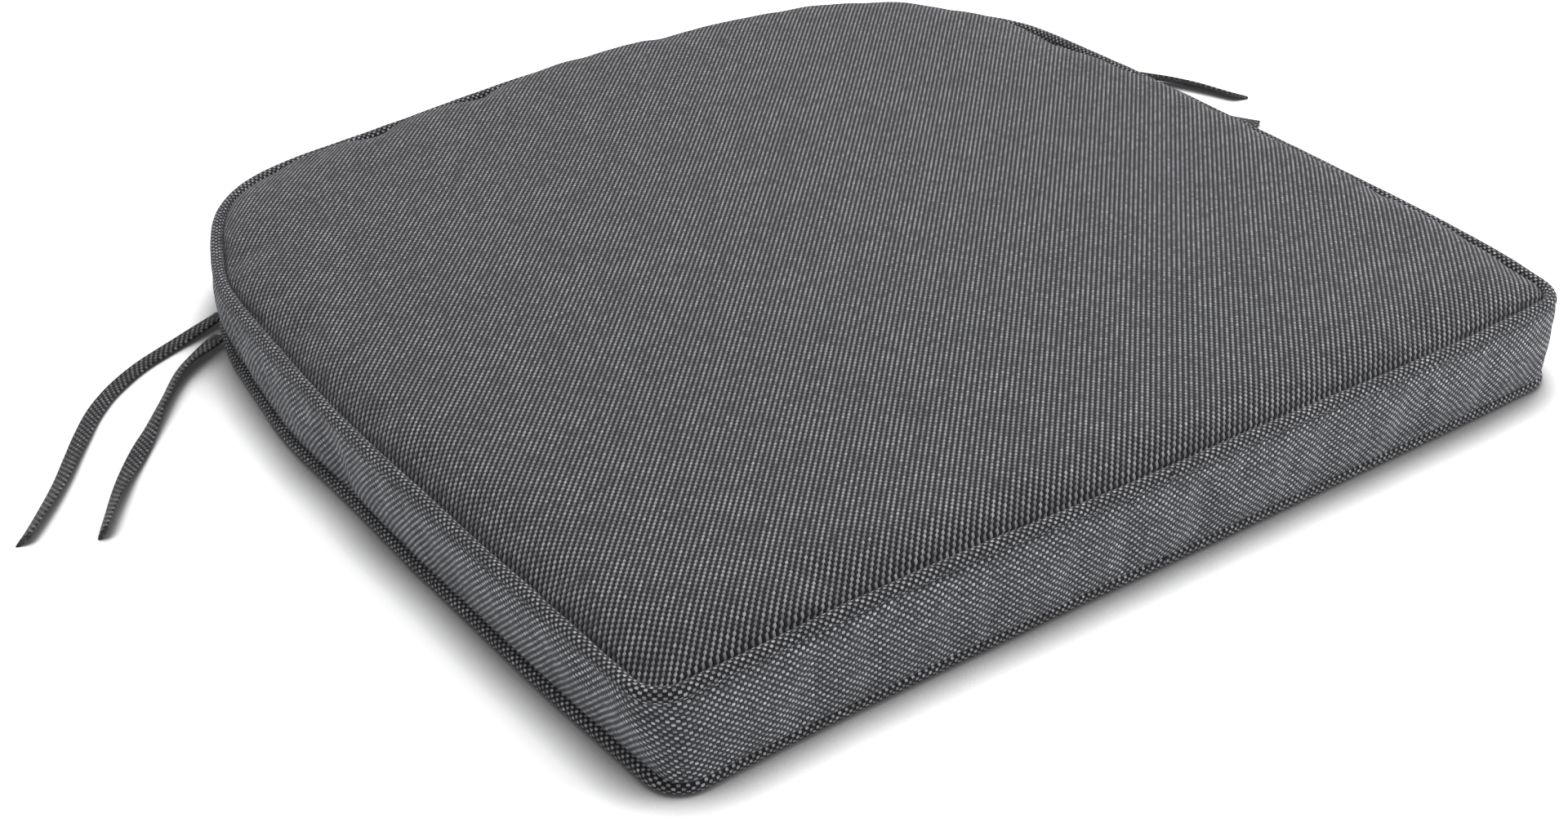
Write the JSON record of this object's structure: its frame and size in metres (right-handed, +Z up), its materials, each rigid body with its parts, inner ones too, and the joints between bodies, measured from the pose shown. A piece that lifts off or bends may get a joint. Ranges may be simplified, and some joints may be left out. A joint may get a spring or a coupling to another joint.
{
  "type": "chair seat pad",
  "caption": "Box-edge chair seat pad with a wadded foam core, piped woven cover, curved back, rear zip and fabric ties at the rear corners.",
  "frame": {"origin": "centre of the underside, on the surface that the pad rests on", "axes": "+X across the pad, to the right seen from the front; +Y towards the curved rear; +Z up"},
  "size_m": [0.6909, 0.477, 0.051],
  "materials": {
    "cover_cloth": "matt melange panama weave, dark grey with light grey yarn",
    "boxing_cloth": "matt melange panama weave",
    "piping_cloth": "matt melange weave cut on the bias",
    "tie_cloth": "matt melange weave, folded and stitched tape",
    "filler_cord": "twisted polyester cord",
    "foam": "open-cell polyurethane foam",
    "wadding": "bonded polyester fibre",
    "zip_tape": "matt woven tape",
    "zip_coil": "satin moulded coil",
    "zip_metal": "satin dark enamel"
  },
  "bodies": {
    "pad": {"top_panel": "cover_cloth", "bottom_panel": "cover_cloth", "boxing_strip": "boxing_cloth", "zip_strip_upper": "boxing_cloth", "zip_strip_lower": "boxing_cloth", "top_piping_cover": "piping_cloth", "top_piping_filler": "filler_cord", "bottom_piping_cover": "piping_cloth", "bottom_piping_filler": "filler_cord", "foam_core": "foam", "wadding_upper": "wadding", "wadding_lower": "wadding", "zip_tape_upper": "zip_tape", "zip_coil_upper": "zip_coil", "zip_tape_lower": "zip_tape", "zip_coil_lower": "zip_coil", "zip_stop_closed_end": "zip_metal", "zip_stop_open_end": "zip_metal", "tie_left_rear": "tie_cloth", "tie_left_front": "tie_cloth", "tie_right_rear": "tie_cloth", "tie_right_front": "tie_cloth"},
    "slider": {"zip_slider": "zip_metal"},
    "pull": {"zip_pull": "zip_metal"}
  },
  "joints": [
    {"name": "zip_travel", "type": "hinge", "parent": "pad", "child": "slider", "pos_m": [0, -0.5245, 0.02275], "axis": [0, 0, 1], "range_deg": [0, 16.8]},
    {"name": "pull_swing", "type": "hinge", "parent": "slider", "child": "pull", "pos_m": [0.11134, 0.22952, 0.02275], "axis": [0, 0, -1], "range_deg": [0, 170]}
  ]
}
